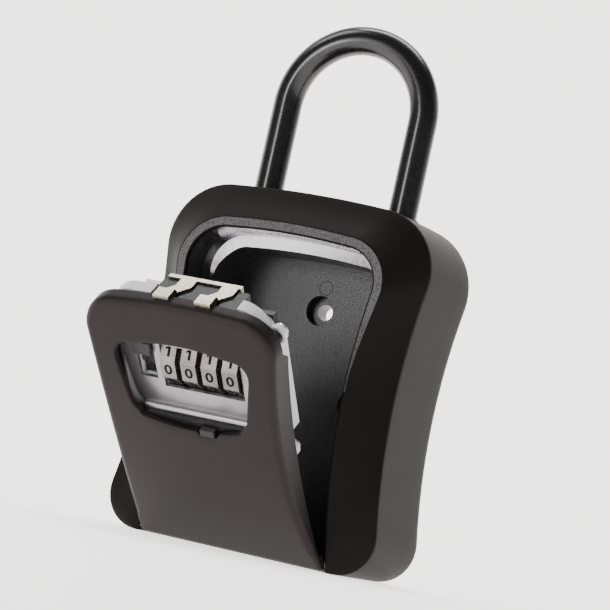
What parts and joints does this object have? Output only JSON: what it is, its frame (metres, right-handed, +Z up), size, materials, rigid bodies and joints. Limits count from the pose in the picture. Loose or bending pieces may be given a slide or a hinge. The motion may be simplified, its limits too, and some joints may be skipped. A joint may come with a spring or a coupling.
{
  "type": "key lock box",
  "caption": "Waisted key lock box with a U shackle, and a bottom-hinged door that carries number dials, a twin-headed latch, an open button and a sliding shutter.",
  "frame": {"origin": "on the base plane, on the left-right plane of symmetry, on the plane of the shackle's bow", "axes": "+Z up along the shackle's legs, the door's front faces -Y and the wall side faces +Y, +X to the right seen from the front"},
  "size_m": [0.0798, 0.0941, 0.1481],
  "materials": {
    "case_paint": "satin black powder coat over a cast zinc case",
    "panel_paint": "fine textured dark grey coat",
    "door_paint": "satin black coat on a cast zinc cover",
    "shackle_coat": "gloss black coat on a hardened steel bar",
    "satin_silver": "satin silver",
    "dial_nickel": "nickel with engraved black numbers",
    "latch_nickel": "warm nickel",
    "steel": "bright zinc plate",
    "spring_steel": "plain spring steel",
    "sleeve_brass": "turned brass",
    "grey_plastic": "light grey moulding",
    "black_plastic": "black moulding, slight sheen"
  },
  "bodies": {
    "case": {"case_shell": "case_paint", "back_panel": "panel_paint", "back_panel_screws": "steel", "hinge_pin": "steel"},
    "shackle": {"shackle": "shackle_coat"},
    "lock_plate": {"shackle_lock_plate": "steel"},
    "door": {"door_cover": "door_paint", "shutter_guide": "black_plastic", "dial_plate": "satin_silver", "lock_housing": "grey_plastic", "latch_block": "black_plastic", "rear_cover": "black_plastic", "housing_screws": "steel", "rear_cover_screws": "steel", "dial_shaft": "steel", "detent_spring": "spring_steel", "latch_spring": "spring_steel"},
    "latch": {"latch_bolt": "latch_nickel", "open_button": "black_plastic"},
    "shutter": {"shutter": "black_plastic"},
    "code_lever": {"code_change_lever": "latch_nickel"},
    "dial_1_set": {"dial_1": "dial_nickel", "dial_sleeve_1": "sleeve_brass"},
    "dial_2_set": {"dial_2": "dial_nickel", "dial_sleeve_2": "sleeve_brass"},
    "dial_3_set": {"dial_3": "dial_nickel", "dial_sleeve_3": "sleeve_brass"},
    "dial_4_set": {"dial_4": "dial_nickel", "dial_sleeve_4": "sleeve_brass"}
  },
  "joints": [
    {"name": "shackle_slide", "type": "slide", "parent": "case", "child": "shackle", "axis": [0, 0, 1], "range_m": [0, 0.01]},
    {"name": "shackle_lock_slide", "type": "slide", "parent": "case", "child": "lock_plate", "axis": [1, 0, 0], "range_m": [0, 0.0046]},
    {"name": "door_hinge", "type": "hinge", "parent": "case", "child": "door", "pos_m": [0, -0.016, 0.0023], "axis": [1, 0, 0], "range_deg": [-43, 37]},
    {"name": "latch_slide", "type": "slide", "parent": "door", "child": "latch", "axis": [0, 0.682, -0.7314], "range_m": [0, 0.0035], "stiffness_N_per_m": 400, "springref_m": -0.006},
    {"name": "shutter_slide", "type": "hinge", "parent": "door", "child": "shutter", "pos_m": [0, 0.08817, 0.1771], "axis": [-1, 0, 0], "range_deg": [0, 6.6]},
    {"name": "code_change_slide", "type": "slide", "parent": "door", "child": "code_lever", "axis": [0, -0.682, 0.7314], "range_m": [0, 0.004]},
    {"name": "dial_1_turn", "type": "hinge", "parent": "door", "child": "dial_1_set", "pos_m": [-0.0064, -0.05595, 0.04749], "axis": [1, 0, 0], "continuous": true},
    {"name": "dial_2_turn", "type": "hinge", "parent": "door", "child": "dial_2_set", "pos_m": [-0.0005, -0.05595, 0.04749], "axis": [1, 0, 0], "continuous": true},
    {"name": "dial_3_turn", "type": "hinge", "parent": "door", "child": "dial_3_set", "pos_m": [0.0054, -0.05595, 0.04749], "axis": [1, 0, 0], "continuous": true},
    {"name": "dial_4_turn", "type": "hinge", "parent": "door", "child": "dial_4_set", "pos_m": [0.0113, -0.05595, 0.04749], "axis": [1, 0, 0], "continuous": true}
  ]
}
